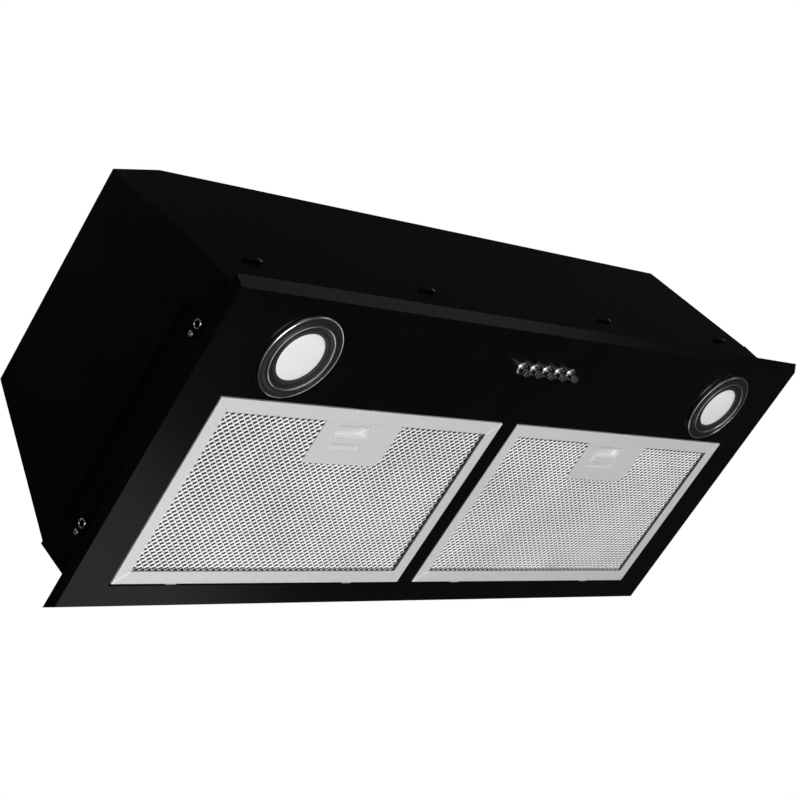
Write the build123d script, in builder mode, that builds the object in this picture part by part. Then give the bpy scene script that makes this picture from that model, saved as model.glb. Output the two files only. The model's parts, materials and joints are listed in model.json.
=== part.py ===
"""Built-in kitchen cooker hood: a sheet-steel canopy that hides in a wall cabinet.

Frame: +Z up, front (controls) towards -Y, origin at the centre of the visible underside.
The tray-shaped bottom panel faces down. Above it stand the lower frame, the upper housing with
its sloping back, the blower and the duct collar. Two grease filters swing down at the front.
"""
from build123d import *
from math import atan2, cos, degrees, hypot, radians, sin
import os

# ---- driving dimensions, millimetres -------------------------------------------------------
SHEET = 1.0                 # steel sheet
GAP = 0.3                   # clearance between pieces that move past each other

RIM_W, RIM_D, RIM_H = 730.0, 295.0, 6.5   # bottom panel over its flared rim
FLARE_X, FLARE_Y = 4.0, 6.0               # how far the rim leans out at the ends, front and back
FRAME_W, FRAME_FRONT, FRAME_REAR = 700.0, -131.0, 128.0   # lower frame, outside
FRAME_TOP = 53.5
HOUSING_W, HOUSING_TOP = 696.0, 177.0     # upper housing, outside
FRONT_TOP_Z, BEVEL_BACK = 166.5, 11.6     # bevel between the front and the top
REAR_TOP_Y = 72.0                         # where the sloping back meets the top
CORNER_IN, CORNER_FOOT = 30.0, 0.5        # corner facet's width at the top and foot of the front

FILTER_W, FILTER_D, FILTER_H = 312.6, 172.2, 9.0
FILTER_X = 166.1                    # filter centre, either side of the middle
FILTER_FRONT = -52.6                # filter's front edge
FILTER_GAP, REAR_GAP = 1.0, 2.0     # in the panel's opening; the rear edge swings, so has more
RAIL_W = 12.0                       # filter rail, seen from below
RAIL_T = 0.8
MESH_T = 0.6                        # each of the two expanded-metal sheets
HANDLE_W, HANDLE_D = 84.0, 40.0
LATCH_DX = -8.5                     # latch, from the filter's middle
SLOT_W, CUP_D, GRIP_D = 35.0, 9.0, 8.5   # window width, finger cup, grip behind it
LATCH_TRAVEL = 5.0
TONGUE_W, TONGUE_T, TONGUE_BITE = 18.0, 0.5, 2.4
LUG_W, LUG_REACH, LUG_INSET = 10.0, 5.0, 60.0

LAMP_X, LAMP_Y = 273.8, -93.4
LAMP_FLANGE_R, LAMP_BODY_R, LAMP_RING_R, LENS_R = 35.0, 29.0, 29.3, 20.7
LAMP_FLANGE_H, LAMP_BODY_H = 1.6, 18.0

BUTTON_Y, BUTTON_PITCH, BUTTON_COUNT = -107.5, 16.2, 5
BUTTON_R, BUTTON_OUT, BUTTON_TRAVEL = 3.2, 8.5, 4.0
BEZEL_R, BEZEL_H = 5.6, 1.4

COLLAR_R, COLLAR_WALL, COLLAR_H = 60.0, 2.0, 30.0
OUTLET_Y = -20.0
FLAP_RISE, FLAP_T, FLAP_PIN_R, FLAP_KNUCKLE_R = 11.0, 1.2, 1.5, 3.0
KNUCKLE_L = 22.0

IMPELLER_R, IMPELLER_W, IMPELLER_BLADES = 52.0, 108.0, 24
SCROLL_R, SCROLL_W, INLET_R = 68.0, 122.0, 44.0
FAN_Y, FAN_Z = -24.0, 88.0
SHAFT_R = 4.0
MOTOR_R, MOTOR_L = 34.0, 62.0

SIDE_HOLE_R, SIDE_HOLE_SPACING = 2.5, 178.0
SIDE_HOLE_Y, SIDE_HOLE_Z = -3.0, 27.0

# ---- values that follow from them ----------------------------------------------------------
FRAME_D, FRAME_Y = FRAME_REAR - FRAME_FRONT, (FRAME_REAR + FRAME_FRONT) / 2
FRAME_BASE = SHEET                                 # the frame stands on the panel
HOUSING_BASE = FRAME_TOP
FILTER_REAR = FILTER_FRONT + FILTER_D
FILTER_Y = (FILTER_FRONT + FILTER_REAR) / 2
HINGE_Z = SHEET + GAP
MESH_BASE = RAIL_T + 0.2
MESH_TOP = FILTER_H - RAIL_T - 0.2
MEDIA_BASE, MEDIA_TOP = MESH_BASE + MESH_T + 0.2, MESH_TOP - MESH_T - 0.2
HANDLE_FRONT = FILTER_FRONT + RAIL_W
SLOT_FRONT = HANDLE_FRONT + 3.0
SLOT_D = CUP_D + GRIP_D + LATCH_TRAVEL
TOP_UNDER = HOUSING_TOP - SHEET
OUTLET_R = COLLAR_R - COLLAR_WALL
COLLAR_TOP, FLAP_Z = HOUSING_TOP + COLLAR_H, HOUSING_TOP + FLAP_RISE
TONGUE_Z = SHEET + GAP
SIDES = {"left": -1, "right": 1}
BUTTON_XS = [(i - (BUTTON_COUNT - 1) / 2) * BUTTON_PITCH for i in range(BUTTON_COUNT)]

os.makedirs("parts", exist_ok=True)


def write(shape, name):
    """Labels one finished piece and writes its STEP file."""
    shape.label = name
    export_step(shape, f"parts/{name}.step")


def box_between(low, high):
    """An axis-aligned box from its two corners, for cuts and simple plates."""
    size = [b - a for a, b in zip(low, high)]
    centre = [(a + b) / 2 for a, b in zip(low, high)]
    return Pos(*centre) * Box(*size, mode=Mode.PRIVATE)


# ---- bottom panel --------------------------------------------------------------------------
def tray(inset, base):
    """The panel's solid envelope: a slab from base to the rim that widens upwards."""
    level_x = inset * hypot(FLARE_X, RIM_H) / RIM_H
    level_y = inset * hypot(FLARE_Y, RIM_H) / RIM_H
    short = 1 - base / RIM_H
    with BuildPart() as slab:
        with BuildSketch(Plane.XY.offset(base)):
            Rectangle(RIM_W - 2 * (FLARE_X * short + level_x),
                      RIM_D - 2 * (FLARE_Y * short + level_y))
        with BuildSketch(Plane.XY.offset(RIM_H)):
            Rectangle(RIM_W - 2 * level_x, RIM_D - 2 * level_y)
        loft(ruled=True)
    return slab.part


def make_bottom_panel():
    outer, inner = tray(0, 0), tray(SHEET, SHEET)
    opening_front = FILTER_FRONT - FILTER_GAP
    opening_rear = FILTER_REAR + REAR_GAP
    with BuildPart() as bottom_panel:
        add(outer)
        add(inner, mode=Mode.SUBTRACT)
        with BuildSketch(Plane.XY):
            with Locations(*[(s * FILTER_X, (opening_front + opening_rear) / 2)
                             for s in SIDES.values()]):
                Rectangle(FILTER_W + 2 * FILTER_GAP, opening_rear - opening_front)
        extrude(amount=SHEET, mode=Mode.SUBTRACT)
        with Locations((-LAMP_X, LAMP_Y, SHEET), (LAMP_X, LAMP_Y, SHEET)):
            Hole(LAMP_BODY_R + GAP, depth=SHEET)
        with Locations(*[(x, BUTTON_Y, SHEET) for x in BUTTON_XS]):
            Hole(BUTTON_R + 1.0, depth=SHEET)
    write(bottom_panel.part, "bottom_panel")


# ---- lower frame ---------------------------------------------------------------------------
HOOK_W, HOOK_XS = 17.0, (-305.0, -118.0, 118.0, 305.0)
SIDE_HOLE_YS = [SIDE_HOLE_Y + s * SIDE_HOLE_SPACING / 2 for s in (-1, 1)]
RIM_PROUD, RIM_R = 1.2, 4.6          # pressed rim round each fixing hole
BEAD_FRONT, BEAD_REAR, BEAD_Z = -99.0, 98.0, 46.6
RIVET_DY, RIVET_Z = 9.5, 28.6


def make_lower_frame():
    with BuildPart() as lower_frame:
        with BuildSketch(Plane.XY.offset(FRAME_BASE)):
            with Locations((0, FRAME_Y)):
                Rectangle(FRAME_W, FRAME_D)
                Rectangle(FRAME_W - 2 * SHEET, FRAME_D - 2 * SHEET, mode=Mode.SUBTRACT)
        extrude(amount=FRAME_TOP - FRAME_BASE)
        # inward ledge that carries the upper housing
        with BuildSketch(Plane.XY.offset(FRAME_TOP - SHEET)):
            with Locations((0, FRAME_Y)):
                Rectangle(FRAME_W, FRAME_D)
                Rectangle(FRAME_W - 24, FRAME_D - 24, mode=Mode.SUBTRACT)
        extrude(amount=SHEET)
        # a pair of pressed beads along each end
        for side in SIDES.values():
            for z in (BEAD_Z, BEAD_Z + 2.2):
                with Locations((side * (FRAME_W / 2 + 0.3), (BEAD_FRONT + BEAD_REAR) / 2, z)):
                    Box(1.0, BEAD_REAR - BEAD_FRONT, 1.0)
        # fixing holes with pressed rims
        for y in SIDE_HOLE_YS:
            rim = Pos(0, y, SIDE_HOLE_Z) * Rot(0, 90, 0)
            add(rim * Cylinder(RIM_R, FRAME_W + 2 * RIM_PROUD, mode=Mode.PRIVATE)
                - box_between((-FRAME_W / 2 + SHEET / 2, -FRAME_D, 0),
                              (FRAME_W / 2 - SHEET / 2, FRAME_D, FRAME_TOP)))
            add(rim * Cylinder(SIDE_HOLE_R, FRAME_W + 20, mode=Mode.PRIVATE), mode=Mode.SUBTRACT)
    write(lower_frame.part, "lower_frame")


# ---- upper housing -------------------------------------------------------------------------
def housing_envelope(inset):
    """The upper housing's outer shape moved inwards by inset: vertical front and sides, a sloping
    back, and a three-cornered facet on each front corner that widens towards the top."""
    run, rise = FRAME_REAR - REAR_TOP_Y, HOUSING_TOP - HOUSING_BASE
    back_shift = inset * hypot(run, rise) / rise     # level shift of the sloping back
    top, base = HOUSING_TOP - inset, HOUSING_BASE
    bevel_rise = HOUSING_TOP - FRONT_TOP_Z
    bevel = hypot(BEVEL_BACK, bevel_rise)
    bevel_y, bevel_z = bevel_rise / bevel, BEVEL_BACK / bevel     # its inward normal
    half = HOUSING_W / 2 - inset
    with BuildPart() as envelope:
        with BuildSketch(Plane.YZ.offset(-half)):
            with BuildLine():
                Polyline(
                    (FRAME_FRONT + inset, base),
                    (FRAME_REAR - back_shift, base),
                    (REAR_TOP_Y - back_shift + inset * run / rise, top),
                    (FRAME_FRONT + BEVEL_BACK + inset * (1 - bevel_z) / bevel_y, top),
                    (FRAME_FRONT + inset, FRONT_TOP_Z - inset * (1 - bevel_y) / bevel_z),
                    close=True,
                )
            make_face()
        extrude(amount=2 * half)
        for side in SIDES.values():
            foot = Vector(side * (HOUSING_W / 2 - CORNER_FOOT), FRAME_FRONT, HOUSING_BASE)
            along_top = Vector(side * (HOUSING_W / 2 - CORNER_IN), FRAME_FRONT, FRONT_TOP_Z)
            back_top = Vector(side * HOUSING_W / 2, FRAME_FRONT + BEVEL_BACK, HOUSING_TOP)
            normal = (along_top - foot).cross(back_top - foot).normalized()
            if normal.Y < 0:
                normal = -normal                     # points into the housing
            facet = Plane(origin=foot + normal * inset, z_dir=normal)
            split(bisect_by=facet, keep=Keep.TOP)
    return envelope.part


def make_upper_housing():
    wall = housing_envelope(0) - housing_envelope(SHEET)
    low, high = -HOUSING_W, HOUSING_W
    side_seam = FRAME_FRONT + BEVEL_BACK + 6.0
    # top plate: all the sheet over the inner height, with the outlet and the gland hole
    with BuildPart() as top_plate:
        add(wall & box_between((low, low, TOP_UNDER), (high, high, HOUSING_TOP + 1)))
        with Locations((0, OUTLET_Y, HOUSING_TOP)):
            Hole(OUTLET_R, depth=SHEET)
        with Locations((GLAND_X, GLAND_Y, HOUSING_TOP)):
            Hole(GLAND_R, depth=SHEET)
    write(top_plate.part, "top_plate")

    walls = wall - box_between((low, low, TOP_UNDER), (high, high, HOUSING_TOP + 1))
    front = walls & box_between((low, low, 0), (high, side_seam, HOUSING_TOP))
    for x in HOOK_XS:
        front -= box_between((x - HOOK_W / 2, FRAME_FRONT - 1, FRAME_TOP - 1),
                             (x + HOOK_W / 2, FRAME_FRONT + 2 * SHEET, FRAME_TOP + 2.6))
    write(Part(front.wrapped), "front_cover")
    rear_region = housing_rear_slab()
    rear = (walls - box_between((low, low, 0), (high, side_seam, HOUSING_TOP))) & rear_region
    write(Part(rear.wrapped), "rear_cover")
    sides = (walls - box_between((low, low, 0), (high, side_seam, HOUSING_TOP))) - rear_region
    for name, side in SIDES.items():
        half_space = box_between((min(0, side * HOUSING_W), low, 0),
                                 (max(0, side * HOUSING_W), high, HOUSING_TOP))
        write(Part((sides & half_space).wrapped), f"side_panel_{name}")


def housing_rear_slab():
    """The space of the sloping back sheet, over the full width."""
    run, rise = FRAME_REAR - REAR_TOP_Y, HOUSING_TOP - HOUSING_BASE
    back_shift = SHEET * hypot(run, rise) / rise
    with BuildPart() as slab:
        with BuildSketch(Plane.YZ.offset(-HOUSING_W / 2)):
            with BuildLine():
                Polyline(
                    (FRAME_REAR - back_shift, HOUSING_BASE),
                    (FRAME_REAR + 1, HOUSING_BASE),
                    (REAR_TOP_Y + 1, HOUSING_TOP),
                    (REAR_TOP_Y - back_shift, HOUSING_TOP),
                    close=True,
                )
            make_face()
        extrude(amount=HOUSING_W)
    return slab.part


# ---- duct collar and non-return flaps ------------------------------------------------------
def make_outlet_collar():
    with BuildPart() as outlet_collar:
        with BuildSketch(Plane.XY.offset(HOUSING_TOP)):
            with Locations((0, OUTLET_Y)):
                Circle(COLLAR_R + 9.0)
                Circle(OUTLET_R, mode=Mode.SUBTRACT)
        extrude(amount=2.0)
        with BuildSketch(Plane.XY.offset(HOUSING_TOP)):
            with Locations((0, OUTLET_Y)):
                Circle(COLLAR_R)
                Circle(OUTLET_R, mode=Mode.SUBTRACT)
        extrude(amount=COLLAR_TOP - HOUSING_TOP)
        pin = Cylinder(FLAP_PIN_R, 3 * COLLAR_R, mode=Mode.PRIVATE)
        add(Pos(0, OUTLET_Y, FLAP_Z) * Rot(0, 90, 0) * pin, mode=Mode.SUBTRACT)
        # pegs on which the closed flaps rest
        with Locations(*[(0, OUTLET_Y + s * (OUTLET_R - 1.8), FLAP_Z - FLAP_T / 2 - GAP - 1.0)
                         for s in (-1, 1)]):
            Box(8.0, 5.0, 2.0)
    write(outlet_collar.part, "outlet_collar")

    with BuildPart() as flap_pin:
        with BuildSketch(Plane.YZ.offset(-COLLAR_R + 0.3)):
            with Locations((OUTLET_Y, FLAP_Z)):
                Circle(FLAP_PIN_R)
        extrude(amount=2 * COLLAR_R - 0.6)
    write(flap_pin.part, "flap_pin")


def make_flap(name, side, knuckle_starts):
    """A half-disc leaf, side -1 to the front and +1 to the rear, with its knuckles on the pin."""
    leaf_r = OUTLET_R - 1.5
    inner_y = FLAP_KNUCKLE_R + 0.6
    with BuildPart() as flap:
        with BuildSketch(Plane.XY.offset(FLAP_Z - FLAP_T / 2)):
            with Locations((0, OUTLET_Y)):
                Circle(leaf_r)
            with Locations((0, OUTLET_Y - side * (leaf_r - inner_y))):
                Rectangle(3 * leaf_r, 2 * leaf_r, mode=Mode.SUBTRACT)
        extrude(amount=FLAP_T)
        for start in knuckle_starts:
            with BuildSketch(Plane.YZ.offset(start)):
                with Locations((OUTLET_Y, FLAP_Z)):
                    Circle(FLAP_KNUCKLE_R)
                with Locations((OUTLET_Y + side * inner_y / 2, FLAP_Z)):
                    Rectangle(inner_y + 0.4, FLAP_T)
                with Locations((OUTLET_Y, FLAP_Z)):
                    Circle(FLAP_PIN_R + 0.08, mode=Mode.SUBTRACT)
            extrude(amount=KNUCKLE_L)
    write(flap.part, name)


# ---- blower --------------------------------------------------------------------------------
def make_scroll():
    """Double-inlet scroll: a round chamber whose chimney rises to the outlet."""
    def profile(inset):
        with BuildPart() as core:
            with BuildSketch(Plane.YZ.offset(-SCROLL_W / 2 + inset)):
                with Locations((FAN_Y, FAN_Z)):
                    Circle(SCROLL_R - inset)
                with Locations((OUTLET_Y, (FAN_Z + TOP_UNDER) / 2)):
                    Rectangle(2 * (SCROLL_R - 12.0 - inset), TOP_UNDER - FAN_Z)
            extrude(amount=SCROLL_W - 2 * inset)
        return core.part
    chimney = box_between((-SCROLL_W / 2 + SHEET, OUTLET_Y - SCROLL_R + 12 + SHEET, FAN_Z + 20),
                          (SCROLL_W / 2 - SHEET, OUTLET_Y + SCROLL_R - 12 - SHEET, HOUSING_TOP))
    with BuildPart() as scroll_housing:
        add(profile(0))
        add(profile(SHEET), mode=Mode.SUBTRACT)
        add(chimney & box_between((-200, -200, 0), (200, 200, TOP_UNDER)), mode=Mode.SUBTRACT)
        inlets = Pos(0, FAN_Y, FAN_Z) * Rot(0, 90, 0) * Cylinder(INLET_R, 2 * SCROLL_W, mode=Mode.PRIVATE)
        add(inlets, mode=Mode.SUBTRACT)
        # fixing ears under the top plate
        for x in (-1, 1):
            with Locations((x * (SCROLL_W / 2 + 7), OUTLET_Y, TOP_UNDER - SHEET / 2)):
                Box(14, 2 * (SCROLL_R - 12), SHEET)
    write(scroll_housing.part, "scroll_housing")


def make_impeller():
    with BuildPart() as impeller:
        half = IMPELLER_W / 2
        for x in (-half, half - 3.0):
            with BuildSketch(Plane.YZ.offset(x)):
                with Locations((FAN_Y, FAN_Z)):
                    Circle(IMPELLER_R)
                    Circle(IMPELLER_R - 9.0, mode=Mode.SUBTRACT)
            extrude(amount=3.0)
        with BuildSketch(Plane.YZ.offset(HUB_X)):
            with Locations((FAN_Y, FAN_Z)):
                Circle(IMPELLER_R)
                Circle(SHAFT_R, mode=Mode.SUBTRACT)
        extrude(amount=2.0)
        with BuildSketch(Plane.YZ.offset(HUB_X)):
            with Locations((FAN_Y, FAN_Z)):
                Circle(10.0)
                Circle(SHAFT_R, mode=Mode.SUBTRACT)
        extrude(amount=14.0)
        for i in range(IMPELLER_BLADES):
            angle = radians(i * 360 / IMPELLER_BLADES)
            mid = IMPELLER_R - 4.7
            with BuildSketch(Plane.YZ.offset(-half + 1.0)):
                with Locations(Location((FAN_Y + mid * cos(angle), FAN_Z + mid * sin(angle)),
                                        degrees(angle) + 35)):
                    Rectangle(9.0, 1.0)
            extrude(amount=IMPELLER_W - 2.0)
    write(impeller.part, "impeller")

    with BuildPart() as motor_shaft:
        with BuildSketch(Plane.YZ.offset(SHAFT_START)):
            with Locations((FAN_Y, FAN_Z)):
                Circle(SHAFT_R)
        extrude(amount=SHAFT_L)
    write(motor_shaft.part, "motor_shaft")


HUB_X = 16.0
MOTOR_END = 8.0                      # motor's inner face, inside the impeller
SHAFT_START, SHAFT_L = -16.0, 48.0


def make_motor():
    with BuildPart() as motor:
        with BuildSketch(Plane.YZ.offset(MOTOR_END - MOTOR_L)):
            with Locations((FAN_Y, FAN_Z)):
                Circle(MOTOR_R)
        extrude(amount=MOTOR_L)
        fillet(motor.edges().filter_by(GeomType.CIRCLE), 5.0)
        bore = Cylinder(SHAFT_R + 0.05, 34.0, mode=Mode.PRIVATE)
        add(Pos(MOTOR_END - 15, FAN_Y, FAN_Z) * Rot(0, 90, 0) * bore, mode=Mode.SUBTRACT)
    write(motor.part, "motor")

    arm_x = MOTOR_END - MOTOR_L - 2.0
    plate_x = -SCROLL_W / 2 - 2.0
    with BuildPart() as motor_bracket:
        # ring behind the motor, three arms out to the scroll's side plate
        with BuildSketch(Plane.YZ.offset(arm_x)):
            with Locations((FAN_Y, FAN_Z)):
                Circle(20.0)
        extrude(amount=2.0)
        with BuildSketch(Plane.YZ.offset(plate_x)):
            with Locations((FAN_Y, FAN_Z)):
                Circle(20.0)
        extrude(amount=arm_x - plate_x)
        with BuildSketch(Plane.YZ.offset(plate_x)):
            for angle in (90, 210, 330):
                tip = INLET_R + 8.0
                with Locations(Location((FAN_Y + tip / 2 * cos(radians(angle)),
                                         FAN_Z + tip / 2 * sin(radians(angle))), angle)):
                    Rectangle(tip, 12.0)
        extrude(amount=2.0)
    write(motor_bracket.part, "motor_bracket")


# ---- lamps ---------------------------------------------------------------------------------
def make_lamp(name, side):
    x = side * LAMP_X
    with BuildPart() as lamp:
        with BuildSketch(Plane.XY.offset(-LAMP_FLANGE_H)):
            with Locations((x, LAMP_Y)):
                Circle(LAMP_FLANGE_R)
                Circle(LENS_R, mode=Mode.SUBTRACT)
        extrude(amount=LAMP_FLANGE_H)
        rim = lamp.edges().filter_by(GeomType.CIRCLE).group_by(Axis.Z)[0].sort_by(
            SortBy.RADIUS)[-1]
        fillet(rim, 1.2)
        # raised ring that frames the lens
        with BuildSketch(Plane.XY.offset(-LAMP_FLANGE_H - 0.9)):
            with Locations((x, LAMP_Y)):
                Circle(LAMP_RING_R)
                Circle(LAMP_RING_R - 1.8, mode=Mode.SUBTRACT)
        extrude(amount=1.0)
        with BuildSketch(Plane.XY):
            with Locations((x, LAMP_Y)):
                Circle(LAMP_BODY_R)
                Circle(LENS_R + 2.6, mode=Mode.SUBTRACT)
        extrude(amount=LAMP_BODY_H)
        with BuildSketch(Plane.XY.offset(LAMP_BODY_H)):
            with Locations((x, LAMP_Y)):
                Circle(LAMP_BODY_R)
        extrude(amount=2.0)
    write(lamp.part, f"lamp_housing_{name}")
    with BuildPart() as lens:
        with BuildSketch(Plane.XY):
            with Locations((x, LAMP_Y)):
                Circle(LENS_R + 2.6)
        extrude(amount=2.4)
        with BuildSketch(Plane.XY.offset(-0.8)):
            with Locations((x, LAMP_Y)):
                Circle(LENS_R)
        extrude(amount=0.8)
    write(lens.part, f"lamp_lens_{name}")


def make_lamp_clips():
    """Two leaf springs per lamp that press its flange against the panel."""
    with BuildPart() as lamp_clips:
        for side in SIDES.values():
            for hand in (-1, 1):
                x = side * LAMP_X + hand * LAMP_BODY_R
                with Locations((x + hand * 0.4, LAMP_Y, 8.0)):
                    Box(0.8, 8.0, 10.0)
                with Locations((x + hand * 3.9, LAMP_Y, 3.4)):
                    Box(7.8, 8.0, 0.8)
                with Locations((x + hand * 7.4, LAMP_Y, 2.4)):
                    Box(0.8, 8.0, 2.8)
    write(lamp_clips.part, "lamp_clips")


# ---- controls ------------------------------------------------------------------------------
SWITCH_W, SWITCH_D, SWITCH_H = 94.0, 26.0, 24.0
STEM_R = 2.0


def make_controls():
    with BuildPart() as button_bezels:
        with BuildSketch(Plane.XY.offset(-BEZEL_H)):
            with Locations(*[(x, BUTTON_Y) for x in BUTTON_XS]):
                Circle(BEZEL_R)
                Circle(BUTTON_R + GAP, mode=Mode.SUBTRACT)
        extrude(amount=BEZEL_H)
        chamfer(button_bezels.edges().filter_by(GeomType.CIRCLE).group_by(Axis.Z)[0], 0.5)
    write(button_bezels.part, "button_bezels")

    with BuildPart() as switch_box:
        with Locations((0, BUTTON_Y, SHEET + 6.0 + SWITCH_H / 2)):
            Box(SWITCH_W, SWITCH_D, SWITCH_H)
        with Locations(*[(x * SWITCH_FOOT_X, BUTTON_Y, SHEET + 3.0) for x in (-1, 1)]):
            Box(6.0, SWITCH_D, 6.0)
        with Locations(*[(x, BUTTON_Y, SHEET + 6.0) for x in BUTTON_XS]):
            Cylinder(STEM_R + 0.5, 2 * (BUTTON_TRAVEL + 4.0), mode=Mode.SUBTRACT)
    write(switch_box.part, "switch_box")

    for number, x in enumerate(BUTTON_XS, start=1):
        with BuildPart() as button:
            with BuildSketch(Plane.XY.offset(-BUTTON_OUT)):
                with Locations((x, BUTTON_Y)):
                    Circle(BUTTON_R)
            extrude(amount=BUTTON_OUT + 2.0)
            chamfer(button.edges().filter_by(GeomType.CIRCLE).group_by(Axis.Z)[0], 0.6)
            with BuildSketch(Plane.XY.offset(2.0)):
                with Locations((x, BUTTON_Y)):
                    Circle(STEM_R)
            extrude(amount=SHEET + 6.0)
        write(button.part, f"button_{number}")


SWITCH_FOOT_X = 44.0


# ---- grease filters ------------------------------------------------------------------------
POCKET_TOP = 5.8                     # hollow over the handle, inside the filter


def make_filter(name, side):
    cx = side * FILTER_X
    lx = cx + LATCH_DX
    half_w, half_d = FILTER_W / 2, FILTER_D / 2
    inner_w, inner_d = FILTER_W - 2 * RAIL_W, FILTER_D - 2 * RAIL_W
    with BuildPart() as frame:
        # channel rails: bottom face, outer wall and a return at the top
        with BuildSketch(Plane.XY):
            with Locations((cx, FILTER_Y)):
                Rectangle(FILTER_W, FILTER_D)
                Rectangle(inner_w, inner_d, mode=Mode.SUBTRACT)
        extrude(amount=FILTER_H)
        with BuildSketch(Plane.XY.offset(RAIL_T)):
            with Locations((cx, FILTER_Y)):
                Rectangle(FILTER_W - 2 * RAIL_T, FILTER_D - 2 * RAIL_T)
        extrude(amount=FILTER_H - 2 * RAIL_T, mode=Mode.SUBTRACT)
        fillet(frame.edges().filter_by(Axis.Z).group_by(
            lambda e: abs(e.center().X - cx) + abs(e.center().Y - FILTER_Y))[-1], 0.6)
        # rear lugs that hang on the panel's edge
        with Locations(*[(cx + s * (half_w - LUG_INSET), FILTER_REAR + LUG_REACH / 2 - 0.2,
                          HINGE_Z + 0.4) for s in (-1, 1)]):
            Box(LUG_W, LUG_REACH + 0.4, 0.8)
        # notch for the latch tongue
        with Locations((lx, FILTER_FRONT, TONGUE_Z + TONGUE_T / 2)):
            Box(TONGUE_W + 1.0, 2 * RAIL_W + 4, TONGUE_T + 0.8, mode=Mode.SUBTRACT)
    write(frame.part, f"filter_frame_{name}")

    sheet_w, sheet_d = FILTER_W - 2 * RAIL_T - 1.0, FILTER_D - 2 * RAIL_T - 1.0
    pocket_rear = HANDLE_FRONT + HANDLE_D + 1.0
    pocket = box_between((cx - HANDLE_W / 2 - 1.0, FILTER_FRONT - 1.0, 0),
                         (cx + HANDLE_W / 2 + 1.0, pocket_rear, POCKET_TOP))
    with BuildPart() as mesh:
        for base in (MESH_BASE, MESH_TOP - MESH_T):
            with Locations((cx, FILTER_Y, base + MESH_T / 2)):
                Box(sheet_w, sheet_d, MESH_T)
        add(pocket, mode=Mode.SUBTRACT)
    write(mesh.part, f"filter_mesh_{name}")

    with BuildPart() as media:
        with Locations((cx, FILTER_Y, (MEDIA_BASE + MEDIA_TOP) / 2)):
            Box(sheet_w - 1.0, sheet_d - 1.0, MEDIA_TOP - MEDIA_BASE)
        add(pocket, mode=Mode.SUBTRACT)
    write(media.part, f"filter_media_{name}")

    slot_y = SLOT_FRONT + SLOT_D / 2
    with BuildPart() as handle:
        with Locations((cx, HANDLE_FRONT + HANDLE_D / 2, RAIL_T / 2)):
            Box(HANDLE_W, HANDLE_D, RAIL_T)
        corner = handle.edges().filter_by(Axis.Z).group_by(Axis.Y)[-1].sort_by(Axis.X)[-1]
        chamfer(corner, 6.0)
        with Locations((lx, slot_y, 0)):
            Box(SLOT_W, SLOT_D, 4 * RAIL_T, mode=Mode.SUBTRACT)
        # guides for the slider, either side of the window
        for s in (-1, 1):
            with Locations((lx + s * (SLOT_W / 2 + 5.0), slot_y, RAIL_T + 1.2)):
                Box(2.0, SLOT_D + 8.0, 2.4)
    write(handle.part, f"filter_handle_{name}")

    plate_z = RAIL_T + 0.2
    grip_front = SLOT_FRONT + CUP_D
    with BuildPart() as slider:
        plate_front, plate_rear = SLOT_FRONT + 1.0, SLOT_FRONT + SLOT_D + 2.0
        with Locations((lx, (plate_front + plate_rear) / 2, plate_z + 0.5)):
            Box(SLOT_W + 6.0, plate_rear - plate_front, 1.0)
        # finger cup: a ramp that runs from flush at one end to deep at the other
        cup_left, cup_right = lx - SLOT_W / 2 + 1.0, lx + SLOT_W / 2 - 1.0
        cup_front = SLOT_FRONT + 1.0
        with Locations((lx, cup_front + CUP_D / 2, plate_z + 1.7)):
            Box(SLOT_W - 2.0, CUP_D, 3.4)
        with BuildSketch(Plane.XZ.offset(-(cup_front + 0.6))):
            with BuildLine():
                Polyline(
                    (cup_left + 1.0, plate_z - 0.5),
                    (cup_right - 1.0, plate_z - 0.5),
                    (cup_right - 1.0, plate_z + 2.9),
                    (cup_right - 3.0, plate_z + 2.9),
                    (cup_left + 1.0, plate_z + 0.1),
                    close=True,
                )
            make_face()
        extrude(amount=-(CUP_D - 1.2), mode=Mode.SUBTRACT)
        # raised grip, rounded, standing proud of the handle plate
        grip = Pos(lx, grip_front + GRIP_D / 2, plate_z - 0.6) * Box(
            SLOT_W - 0.8, GRIP_D - 0.4, 3.4, mode=Mode.PRIVATE)
        add(grip.fillet(1.3, grip.edges().group_by(Axis.Z)[0]))
    write(slider.part, f"latch_slider_{name}")

    tongue_rear = SLOT_FRONT + 1.0
    tongue_tip = FILTER_FRONT - FILTER_GAP - TONGUE_BITE
    with BuildPart() as tongue:
        with Locations((lx, (tongue_rear + tongue_tip) / 2, TONGUE_Z + TONGUE_T / 2)):
            Box(TONGUE_W, tongue_rear - tongue_tip, TONGUE_T)
    write(tongue.part, f"latch_tongue_{name}")



# ---- small parts ---------------------------------------------------------------------------
GLAND_X, GLAND_Y, GLAND_R = 240.0, -16.0, 7.0


def make_cable_gland():
    with BuildPart() as cable_gland:
        with BuildSketch(Plane.XY.offset(TOP_UNDER - 6.0)):
            with Locations((GLAND_X, GLAND_Y)):
                Circle(GLAND_R)
        extrude(amount=6.0 + SHEET + 12.0)
        with BuildSketch(Plane.XY.offset(HOUSING_TOP)):
            with Locations((GLAND_X, GLAND_Y)):
                RegularPolygon(11.0, 6)
        extrude(amount=6.0)
        with Locations((GLAND_X, GLAND_Y, HOUSING_TOP)):
            Cylinder(3.6, 80.0, mode=Mode.SUBTRACT)
    write(cable_gland.part, "cable_gland")


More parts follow.
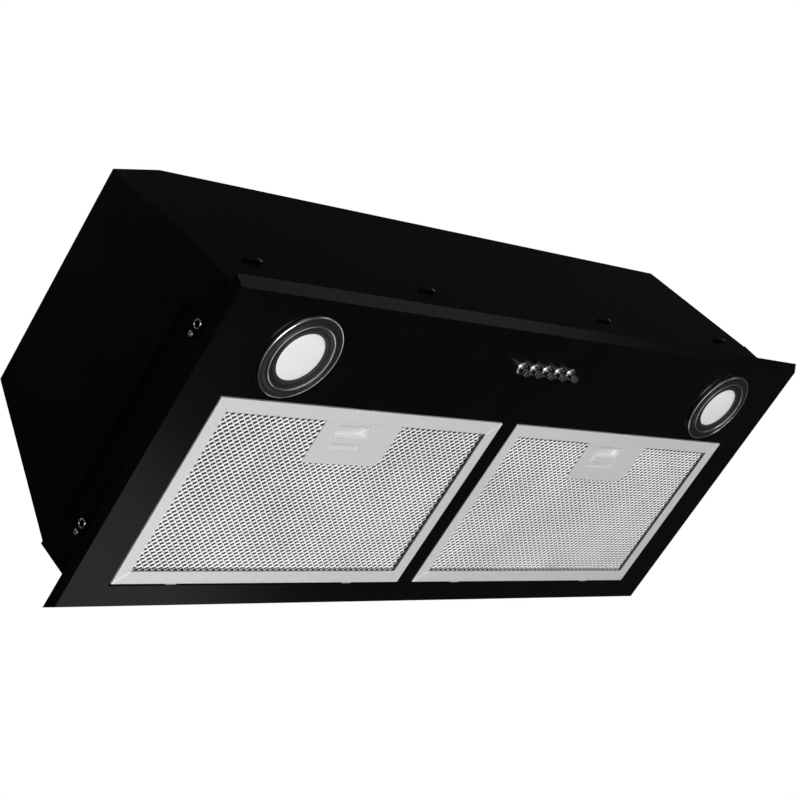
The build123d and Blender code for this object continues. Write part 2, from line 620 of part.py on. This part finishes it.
def make_electrics():
    with BuildPart() as terminal_box:
        with Locations((GLAND_X, GLAND_Y - 4.0, TOP_UNDER - 24.0)):
            Box(90.0, 54.0, 36.0)
        offset(amount=-2.0, openings=terminal_box.faces().sort_by(Axis.Z)[-1])
        with Locations(*[(GLAND_X + s * 51.0, GLAND_Y - 4.0, TOP_UNDER - 0.8) for s in (-1, 1)]):
            Box(12.0, 20.0, 1.6)
        with Locations(*[(GLAND_X + s * 45.8, GLAND_Y - 4.0, TOP_UNDER - 4.2) for s in (-1, 1)]):
            Box(1.6, 20.0, 8.4)
    write(terminal_box.part, "terminal_box")
    with BuildPart() as capacitor:
        with Locations((GLAND_X - 20, GLAND_Y - 8.0, TOP_UNDER - 40.0 + 14.0)):
            Cylinder(12.0, 28.0)
    write(capacitor.part, "motor_capacitor")


SCREW_HEAD_R, SCREW_HEAD_H, SCREW_R = 3.6, 1.8, 1.6


def make_screws():
    """Pan-head screws, one node for each kind of seam."""
    def screw():
        with BuildPart() as one:
            with BuildSketch(Plane.XY):
                Circle(SCREW_HEAD_R)
            extrude(amount=SCREW_HEAD_H)
            chamfer(one.edges().group_by(Axis.Z)[-1], 0.6)
            with Locations((0, 0, SCREW_HEAD_H)):
                Box(0.9, 5.0, 1.4, mode=Mode.SUBTRACT)
                Box(5.0, 0.9, 1.4, mode=Mode.SUBTRACT)
        return one.part
    def group(name, places):
        solids = [place * screw() for place in places]
        write(Compound(children=solids), name)
    top = [Pos(x, y, HOUSING_TOP) for x in (-300, -150, 150, 300) for y in (-104, 60)]
    group("top_screws", top)
    collar = [Pos((COLLAR_R + 5.0) * cos(radians(a)), OUTLET_Y + (COLLAR_R + 5.0) * sin(radians(a)),
                  HOUSING_TOP + 2.0) for a in (45, 135, 225, 315)]
    group("collar_screws", collar)


def make_clips():
    """Rivets beside the fixing holes, and the front cover's hook tabs."""
    with BuildPart() as side_rivets:
        for side in SIDES.values():
            for y in (SIDE_HOLE_YS[0] + RIVET_DY, SIDE_HOLE_YS[1] + RIVET_DY):
                with Locations(Location((side * (FRAME_W / 2 + 0.6), y, RIVET_Z), (0, 90, 0))):
                    Cylinder(2.2, 1.2)
        chamfer(side_rivets.faces().filter_by(GeomType.PLANE).group_by(
            lambda f: abs(f.center().X))[-1].edges(), 0.5)
    write(side_rivets.part, "side_rivets")
    with BuildPart() as front_hooks:
        for x in HOOK_XS:
            with Locations((x, FRAME_FRONT + 1.2, FRAME_TOP + GAP + 0.5)):
                Box(HOOK_W - 1.6, 6.0, 1.0)
            with Locations((x, FRAME_FRONT - 1.3, FRAME_TOP + GAP + 1.6)):
                Box(HOOK_W - 1.6, 1.0, 3.2)
    write(front_hooks.part, "front_hooks")


def main():
    make_bottom_panel()
    make_lower_frame()
    make_upper_housing()
    make_outlet_collar()
    make_flap("flap_front", -1, (-50.0, 3.0))
    make_flap("flap_rear", 1, (-25.0, 28.0))
    make_scroll()
    make_impeller()
    make_motor()
    for name, side in SIDES.items():
        make_lamp(name, side)
        make_filter(name, side)
    make_lamp_clips()
    make_controls()
    make_cable_gland()
    make_electrics()
    make_screws()
    make_clips()


main()
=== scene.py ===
import bpy, bmesh, json, math
from mathutils import Matrix, Vector


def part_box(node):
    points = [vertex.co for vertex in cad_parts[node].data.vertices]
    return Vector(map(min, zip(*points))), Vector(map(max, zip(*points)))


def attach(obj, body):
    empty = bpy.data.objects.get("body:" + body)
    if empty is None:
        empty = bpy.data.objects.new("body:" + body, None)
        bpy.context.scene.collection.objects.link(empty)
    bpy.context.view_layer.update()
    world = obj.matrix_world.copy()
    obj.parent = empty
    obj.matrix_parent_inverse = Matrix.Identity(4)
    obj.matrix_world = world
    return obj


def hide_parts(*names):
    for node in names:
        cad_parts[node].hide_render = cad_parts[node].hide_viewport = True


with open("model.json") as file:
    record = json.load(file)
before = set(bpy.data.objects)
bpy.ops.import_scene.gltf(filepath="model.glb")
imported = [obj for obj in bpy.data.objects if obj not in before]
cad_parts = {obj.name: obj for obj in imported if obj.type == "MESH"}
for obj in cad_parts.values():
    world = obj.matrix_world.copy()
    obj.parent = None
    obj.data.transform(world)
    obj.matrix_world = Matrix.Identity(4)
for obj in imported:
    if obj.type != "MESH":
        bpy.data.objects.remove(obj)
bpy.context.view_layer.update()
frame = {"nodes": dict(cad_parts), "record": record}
nodes, record = frame["nodes"], frame["record"]
MM = 0.001                       # metres in a millimetre; helpers below take millimetres
SIDES = ("left", "right")

# ------------------------------------------------------------------ camera
cam_data = bpy.data.cameras.new("camera")
cam_data.lens, cam_data.sensor_width, cam_data.clip_end = 84.49, 36.0, 100.0
cam = bpy.data.objects.new("camera", cam_data)
bpy.context.scene.collection.objects.link(cam)
right = Vector((0.65853162, -0.50116449, -0.56140027))
down = Vector((0.06714178, 0.7821462, -0.61946695))
ahead = Vector((0.74955193, 0.37024516, 0.54871708))
turn = Matrix((right, -down, -ahead)).transposed()
cam.matrix_world = Matrix.Translation((-1.2086, -0.5901, -0.7779)) @ turn.to_4x4()
bpy.context.scene.camera = cam
bpy.context.scene.view_settings.view_transform = "Standard"


# ------------------------------------------------------------------ materials
CLOUD_SCALE = 14.0               # how coarse the soft mottling is
GRAIN_HEIGHT = 0.0004            # metres


def map_noise(nt, vector, scale, detail):
    node = nt.nodes.new("ShaderNodeTexNoise")
    node.inputs["Scale"].default_value = scale
    node.inputs["Detail"].default_value = detail
    nt.links.new(vector, node.inputs["Vector"])
    return node


def finish_mat(name, base, rough, metal=0.0, spec=0.5, grain=900.0, grain_depth=0.05,
               mottle=0.08, stretch=(1, 1, 1), rough_var=0.08):
    """A sheet, paint or plastic finish: fine grain in bump, soft mottling in colour and gloss."""
    m = bpy.data.materials.new(name)
    m.use_nodes = True
    nt = m.node_tree
    b = nt.nodes["Principled BSDF"]
    b.inputs["Metallic"].default_value = metal
    b.inputs["Specular IOR Level"].default_value = spec
    tc = nt.nodes.new("ShaderNodeTexCoord")
    mp = nt.nodes.new("ShaderNodeMapping")
    mp.inputs["Scale"].default_value = stretch
    nt.links.new(tc.outputs["Object"], mp.inputs["Vector"])
    cloud = map_noise(nt, mp.outputs["Vector"], CLOUD_SCALE, 5.0)
    fine = map_noise(nt, mp.outputs["Vector"], grain, 3.0)
    ramp = nt.nodes.new("ShaderNodeValToRGB")
    low_stop, high_stop = ramp.color_ramp.elements
    low_stop.position, high_stop.position = 0.35, 0.65
    low_stop.color = (*[c * (1 - mottle) for c in base], 1)
    high_stop.color = (*[min(1, c * (1 + mottle)) for c in base], 1)
    nt.links.new(cloud.outputs["Fac"], ramp.inputs["Fac"])
    nt.links.new(ramp.outputs["Color"], b.inputs["Base Color"])
    rr = nt.nodes.new("ShaderNodeMapRange")
    rr.inputs["To Min"].default_value = max(0.02, rough - rough_var)
    rr.inputs["To Max"].default_value = rough + rough_var
    nt.links.new(cloud.outputs["Fac"], rr.inputs["Value"])
    nt.links.new(rr.outputs["Result"], b.inputs["Roughness"])
    bump = nt.nodes.new("ShaderNodeBump")
    bump.inputs["Strength"].default_value = grain_depth
    bump.inputs["Distance"].default_value = GRAIN_HEIGHT
    nt.links.new(fine.outputs["Fac"], bump.inputs["Height"])
    nt.links.new(bump.outputs["Normal"], b.inputs["Normal"])
    return m


BLACK = finish_mat("enamel_black", (0.0016, 0.0016, 0.0018), 0.22, spec=0.10, grain=500,
                   grain_depth=0.02, mottle=0.2, rough_var=0.05)
SHELL = finish_mat("enamel_black_shell", (0.0012, 0.0012, 0.0013), 0.36, spec=0.05, grain=700,
                   grain_depth=0.04, mottle=0.25)
GALV = finish_mat("zinc_sheet", (0.50, 0.51, 0.52), 0.38, metal=1.0, grain=60, grain_depth=0.08,
                  mottle=0.16, rough_var=0.12)
MOTOR = finish_mat("motor_can", (0.30, 0.30, 0.31), 0.42, metal=1.0, grain=1200, mottle=0.1)
PLASTIC = finish_mat("black_plastic", (0.018, 0.018, 0.019), 0.46, grain=1400, grain_depth=0.12,
                     mottle=0.12)
ZINC = finish_mat("bright_zinc", (0.62, 0.61, 0.58), 0.25, metal=1.0, grain=1600, mottle=0.08)
CHROME = finish_mat("chrome", (0.50, 0.50, 0.51), 0.09, metal=1.0, grain=2500, grain_depth=0.01,
                    mottle=0.03, rough_var=0.03)
BEZEL = finish_mat("bezel_grey", (0.022, 0.022, 0.023), 0.34, metal=0.5, grain=2200,
                   grain_depth=0.05, mottle=0.1)
ALU = finish_mat("filter_aluminium", (0.86, 0.86, 0.855), 0.40, metal=0.25, grain=1500,
                 grain_depth=0.05, mottle=0.02, stretch=(0.25, 1, 1), rough_var=0.05)
MESH = finish_mat("expanded_aluminium", (0.88, 0.88, 0.87), 0.30, metal=0.30, grain=2500,
                  grain_depth=0.08, mottle=0.06)
FIBRE = finish_mat("grease_pad", (0.035, 0.035, 0.034), 0.85, grain=700, grain_depth=0.9,
                   mottle=0.45, rough_var=0.05, spec=0.2)
SPRING = finish_mat("spring_steel", (0.45, 0.45, 0.44), 0.28, metal=1.0, grain=1800, mottle=0.1)
LENS = finish_mat("frosted_diffuser", (0.88, 0.88, 0.875), 0.34, grain=3000, grain_depth=0.1,
                  mottle=0.02)
lens_inputs = LENS.node_tree.nodes["Principled BSDF"].inputs
lens_inputs["Emission Color"].default_value = (1, 1, 0.98, 1)
lens_inputs["Emission Strength"].default_value = 0.05

BY_SLOT = {"black_steel": SHELL, "galvanised_steel": GALV, "motor_steel": MOTOR,
           "black_plastic": PLASTIC, "zinc_screw": ZINC, "button_chrome": CHROME,
           "lamp_bezel": BEZEL, "lamp_diffuser": LENS, "filter_aluminium": ALU,
           "filter_mesh": MESH, "filter_fibre": FIBRE, "spring_steel": SPRING}
# edge rounding of the CAD pieces, in mm
BEVELS = {"bottom_panel": 0.8, "lower_frame": 0.3, "front_cover": 0.6, "side_panel_left": 0.3,
          "side_panel_right": 0.3, "top_plate": 0.4, "button_bezels": 0.25, "outlet_collar": 0.4,
          "switch_box": 1.0, "terminal_box": 0.8}


def paint(o, m):
    if len(o.material_slots) == 0:
        o.data.materials.append(m)
    for s in o.material_slots:
        s.material = m


def bevel(o, width):
    mod = o.modifiers.new("edge", "BEVEL")
    mod.width, mod.segments, mod.limit_method = width * MM, 3, "ANGLE"
    mod.angle_limit = math.radians(40)


for part in record["subparts"]:
    o = nodes[part["node"]]
    paint(o, BLACK if part["node"] == "bottom_panel" else BY_SLOT[part["material_slot"]])
    if part["node"] in BEVELS:
        bevel(o, BEVELS[part["node"]])


# ------------------------------------------------------------------ mesh helpers
def new_piece(name, verts, faces, material, body, smooth=False, replaced=()):
    me = bpy.data.meshes.new(name)
    me.from_pydata([tuple(c * MM for c in v) for v in verts], [], faces)
    bm = bmesh.new()
    bm.from_mesh(me)
    bmesh.ops.recalc_face_normals(bm, faces=bm.faces)
    bm.to_mesh(me)
    bm.free()
    if smooth:
        me.shade_smooth()
    o = bpy.data.objects.new(name, me)
    bpy.context.scene.collection.objects.link(o)
    o.data.materials.append(material)
    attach(o, body)
    if replaced:
        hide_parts(*replaced)
    return o


def lathe(name, profile, at, material, body, steps=72, replaced=(), closed=True, axis="Z"):
    """Turns (radius, height) pairs, in mm, about an axis through at."""
    verts, faces, n = [], [], len(profile)
    spans = n if closed else n - 1
    for i in range(steps):
        a = 2 * math.pi * i / steps
        for r, h in profile:
            c, s = r * math.cos(a), r * math.sin(a)
            verts.append((at[0] + c, at[1] + s, at[2] + h) if axis == "Z"
                         else (at[0] + h, at[1] + c, at[2] + s))
    for i in range(steps):
        j = (i + 1) % steps
        for k in range(spans):
            nxt = (k + 1) % n
            faces.append((i * n + k, j * n + k, j * n + nxt, i * n + nxt))
    o = new_piece(name, verts, faces, material, body, smooth=True, replaced=replaced)
    o.data.set_sharp_from_angle(angle=math.radians(38))
    return o


# ------------------------------------------------------------------ lamps
# (radius, height) profiles in mm, from the lamp's axis and the panel's underside
TRIM = [(20.75, 0.3), (20.75, -1.2), (21.2, -1.9), (21.9, -2.1), (22.6, -1.9), (25.0, -2.2),
        (27.3, -2.6), (27.9, -3.1), (28.5, -3.3), (29.2, -3.2), (29.7, -2.6), (31.0, -2.3),
        (33.6, -2.1), (34.6, -2.3), (35.2, -2.0), (35.5, -1.3), (35.5, -0.05), (33.0, 0.0)]
GASKET = [(20.6, -0.9), (20.7, -1.9), (21.3, -2.3), (22.9, -2.2), (23.4, -1.6)]
# painted highlights: two thin bright zinc strips laid over the trim's two ridges; the ridges are
# the trim's own shape, their brightness is painted light
INNER_RIDGE_HIGHLIGHT = [(26.9, -2.5), (27.2, -3.3), (27.7, -3.5), (28.2, -3.3), (28.4, -2.7)]
OUTER_RIDGE_HIGHLIGHT = [(34.2, -1.9), (34.5, -2.6), (34.9, -2.7), (35.4, -2.3), (35.6, -1.2)]
DIFFUSER = [(0.01, -1.75), (5, -1.72), (10, -1.6), (15, -1.35), (19, -1.0), (20.7, -0.75),
            (20.7, 0.5), (0.01, 0.5)]
LAMP_STEPS = 128

for name in SIDES:
    low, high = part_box(f"lamp_lens_{name}")
    at = ((low[0] + high[0]) / 2 / MM, (low[1] + high[1]) / 2 / MM, 0)
    lathe(f"lamp_trim_{name}", TRIM, at, BEZEL, "hood", steps=LAMP_STEPS)
    lathe(f"lamp_gasket_{name}", GASKET, at, PLASTIC, "hood", steps=LAMP_STEPS)
    # painted highlights on the trim ridges, as bright zinc rings
    lathe(f"lamp_ridge_highlight_inner_{name}", INNER_RIDGE_HIGHLIGHT, at, ZINC, "hood", steps=LAMP_STEPS)
    lathe(f"lamp_ridge_highlight_outer_{name}", OUTER_RIDGE_HIGHLIGHT, at, ZINC, "hood", steps=LAMP_STEPS)
    lathe(f"lamp_diffuser_{name}", DIFFUSER, at, LENS, "hood", steps=96,
          closed=False)

# ------------------------------------------------------------------ buttons
BUTTON_COUNT = 5
for i in range(1, BUTTON_COUNT + 1):
    low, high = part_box(f"button_{i}")
    cx, cy, tip = (low[0] + high[0]) / 2 / MM, (low[1] + high[1]) / 2 / MM, low[2] / MM
    r = (high[0] - low[0]) / 2 / MM
    lathe(f"push_button_{i}",
          [(0.01, 0.2), (r * 0.45, 0.12), (r * 0.80, 0.0), (r * 0.96, 0.15), (r, 0.5), (r, 1.7),
           (r * 0.86, 1.95), (r * 0.86, 2.5), (r * 0.97, 2.75), (r * 0.97, 10.4),
           (r * 0.5, 10.5), (r * 0.48, 17.4), (0.01, 17.5)],
          (cx, cy, tip), CHROME, f"button_{i}", steps=48,
          replaced=(f"button_{i}",), closed=False)
    lathe(f"button_collar_{i}",
          [(r + 0.35, 0.0), (r + 0.35, -1.5), (r + 0.6, -1.9), (r + 1.0, -1.9), (r + 1.3, -1.6),
           (r + 1.6, -1.55), (r + 2.3, -1.1), (r + 2.45, -0.7), (r + 2.45, -0.02)],
          (cx, cy, 0), CHROME, "hood", steps=64)

# ------------------------------------------------------------------ filters
PITCH_X, PITCH_Y = 6.4, 6.0      # the lattice's openings, centre to centre
STRAND_T = 0.30                  # sheet thickness
HOLE_SHARE = 0.76                # how much of its cell each opening takes
TWIST = 0.80                     # how far the strands tilt out of the sheet
RAIL = 12.0                      # width of a filter rail
MITRE_GAP = 0.12                 # half a mitre joint
LUG_REACH = 5.0                  # the lugs stand this far behind the frame
NICK_IN, NICK_OUT, NICK_D = 8.8, 9.8, 1.6   # the two nicks in the front rail, about the latch
FACE_Z, BACK_Z = 1.35, 7.8       # heights of the two lattices


def expanded(name, x0, x1, y0, y1, z, hole, body):
    """Expanded metal: a lattice of rhombic openings whose strands tilt, thickened to sheet."""
    verts, faces, seen = [], [], {}

    def vertex(p):
        key = tuple(round(c, 3) for c in p)
        if key not in seen:
            seen[key] = len(verts)
            verts.append(p)
        return seen[key]

    a, b = PITCH_X / 2, PITCH_Y / 2
    rows = int((y1 - y0) / b)
    cols = int((x1 - x0) / PITCH_X)
    for j in range(1, rows):
        for i in range(cols + 1):
            cx = x0 + (i + (0.5 if j % 2 else 0.0)) * PITCH_X
            cy = y0 + j * b
            if not (x0 + a <= cx <= x1 - a and y0 + b <= cy <= y1 - b):
                continue
            if hole[0] - a < cx < hole[1] + a and hole[2] - b < cy < hole[3] + b:
                continue
            outer = [(cx + a, cy, z), (cx, cy + b, z), (cx - a, cy, z), (cx, cy - b, z)]
            k = HOLE_SHARE
            inner = [(cx + a * k * 0.95, cy + b * 0.08, z - TWIST * 0.1),
                     (cx, cy + b * k + b * 0.05, z + TWIST),
                     (cx - a * k * 0.95, cy + b * 0.08, z - TWIST * 0.1),
                     (cx, cy - b * k, z - TWIST)]
            oi = [vertex(p) for p in outer]
            ii = [vertex(p) for p in inner]
            for q in range(4):
                w = (q + 1) % 4
                faces.append((oi[q], oi[w], ii[w], ii[q]))
    o = new_piece(name, verts, faces, MESH, body)
    sheet = o.modifiers.new("sheet", "SOLIDIFY")
    sheet.thickness, sheet.offset = STRAND_T * MM, 0.0
    return o


def prism(name, outline, z0, z1, material, body, edge):
    """A flat outline, in mm, raised from z0 to z1 with rounded edges."""
    n = len(outline)
    verts = [(x, y, z0) for x, y in outline] + [(x, y, z1) for x, y in outline]
    faces = [tuple(range(n))[::-1], tuple(range(n, 2 * n))]
    faces += [(i, (i + 1) % n, n + (i + 1) % n, n + i) for i in range(n)]
    o = new_piece(name, verts, faces, material, body)
    bevel(o, edge)
    return o


def mm_box(node):
    low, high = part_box(node)
    return [c / MM for c in low], [c / MM for c in high]


for name in SIDES:
    body = f"filter_{name}"
    fl, fh = mm_box(f"filter_frame_{name}")
    hl, hh = mm_box(f"filter_handle_{name}")
    sl, sh = mm_box(f"latch_slider_{name}")
    lx = (sl[0] + sh[0]) / 2
    x0, x1, y0, y1 = fl[0], fh[0], fl[1], fh[1] - LUG_REACH
    g, s = MITRE_GAP, RAIL
    rails = {
        "front": [(x0 + g, y0), (lx - NICK_OUT, y0), (lx - NICK_OUT, y0 + NICK_D),
                  (lx - NICK_IN, y0 + NICK_D), (lx - NICK_IN, y0), (lx + NICK_IN, y0),
                  (lx + NICK_IN, y0 + NICK_D), (lx + NICK_OUT, y0 + NICK_D),
                  (lx + NICK_OUT, y0), (x1 - g, y0), (x1 - s - g, y0 + s), (x0 + s + g, y0 + s)],
        "rear": [(x0 + g, y1), (x0 + s + g, y1 - s), (x1 - s - g, y1 - s), (x1 - g, y1)],
        "left": [(x0, y0 + g), (x0 + s, y0 + s + g), (x0 + s, y1 - s - g), (x0, y1 - g)],
        "right": [(x1, y0 + g), (x1, y1 - g), (x1 - s, y1 - s - g), (x1 - s, y0 + s + g)]}
    for key, outline in rails.items():
        prism(f"filter_rail_{key}_{name}", outline, -0.45, 0.9, ALU, body,
              edge=0.42)
    hole = (hl[0] + 8, hh[0] - 8, y0, hh[1] - 8)
    inset = s - 1.2                                # the lattice runs in under the rails
    o = expanded(f"filter_face_{name}", x0 + inset, x1 - inset, y0 + inset, y1 - inset, FACE_Z,
                 hole, body)
    expanded(f"filter_back_{name}", x0 + 2, x1 - 2, y0 + 16, y1 - 2, BACK_Z,
             (hl[0], hh[0], y0, hh[1] + 2), body)
    # the CAD's two plain sheets give way to the lattice
    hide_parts(f"filter_mesh_{name}")
    for node in (f"filter_handle_{name}", f"latch_slider_{name}"):
        bevel(nodes[node], 0.35)

# ------------------------------------------------------------------ pressed rims and hooks, their highlights painted in bright zinc
FRAME_END_X, RIM_Z = 350.0, 27.0
for side, name in zip((-1, 1), SIDES):
    for k, y in enumerate((-92.0, 86.0)):
        # painted highlights: the raised rims round the side holes are the hood's own shape, but
        # their bright zinc colour stands in for light caught on black pressed rims
        lathe(f"rim_highlight_{name}_{k}",
              [(2.6, 0.0), (2.6, side * 1.4), (2.9, side * 1.8), (3.4, side * 1.8),
               (3.8, side * 1.4), (4.0, side * 0.9)],
              (side * FRAME_END_X, y, RIM_Z), ZINC, "hood", steps=40, axis="X")

for k, x in enumerate((-305.0, -118.0, 118.0, 305.0)):
    # painted highlights: small bright zinc blocks at the right end of each front hook, standing
    # in for light caught on the black hook
    prism(f"hook_glint_{k}", [(x + 6.2, -133.1), (x + 8.2, -133.1), (x + 8.2, -131.4),
                            (x + 6.2, -131.4)], 54.0, 57.2, ZINC, "hood", edge=0.3)


# ------------------------------------------------------------------ studio
def area(name, at, target, size, power):
    d = bpy.data.lights.new(name, "AREA")
    d.size, d.energy = size, power
    o = bpy.data.objects.new(name, d)
    bpy.context.scene.collection.objects.link(o)
    o.location = at
    o.rotation_euler = (Vector(target) - Vector(at)).to_track_quat("-Z", "Y").to_euler()


area("key_below", (-1.6, -1.3, -2.2), (0, 0, 0), 1.8, 58)
area("fill_front", (-0.4, -2.4, -1.2), (0, 0, 0.05), 1.2, 12)
area("panel_glow", (0.75, 1.30, -1.35), (-0.35, 0.14, 0), 0.9, 3)
area("lip_glow", (1.15, -1.30, -0.72), (-0.25, -0.147, 0), 0.7, 1.5)
area("top_wash", (0.6, 0.8, 3.4), (0, 0, 0), 3.0, 190)
area("back_wash", (1.5, 2.8, 1.4), (0, 0, 0.1), 1.6, 60)

# the camera sees white; the scene is lit by much less
world = bpy.data.worlds.new("studio")
bpy.context.scene.world = world
world.use_nodes = True
wt = world.node_tree
wt.nodes.clear()
out = wt.nodes.new("ShaderNodeOutputWorld")
mix = wt.nodes.new("ShaderNodeMixShader")
path = wt.nodes.new("ShaderNodeLightPath")
dim = wt.nodes.new("ShaderNodeBackground")
dim.inputs["Color"].default_value, dim.inputs["Strength"].default_value = (1, 1, 1, 1), 0.06
bright = wt.nodes.new("ShaderNodeBackground")
bright.inputs["Color"].default_value, bright.inputs["Strength"].default_value = (1, 1, 1, 1), 1.0
wt.links.new(path.outputs["Is Camera Ray"], mix.inputs[0])
wt.links.new(dim.outputs[0], mix.inputs[1])
wt.links.new(bright.outputs[0], mix.inputs[2])
wt.links.new(mix.outputs[0], out.inputs["Surface"])

FLOOR_HALF, FLOOR_Z = 2, -3      # metres
me = bpy.data.meshes.new("floor")
me.from_pydata([(x * FLOOR_HALF, y * FLOOR_HALF, FLOOR_Z)
                for x, y in ((-1, -1), (1, -1), (1, 1), (-1, 1))], [], [(0, 1, 2, 3)])
floor = bpy.data.objects.new("floor", me)
bpy.context.scene.collection.objects.link(floor)
floor.data.materials.append(finish_mat("floor_pale", (0.86, 0.86, 0.86), 0.7, grain=80,
                                       grain_depth=0.02, mottle=0.01))
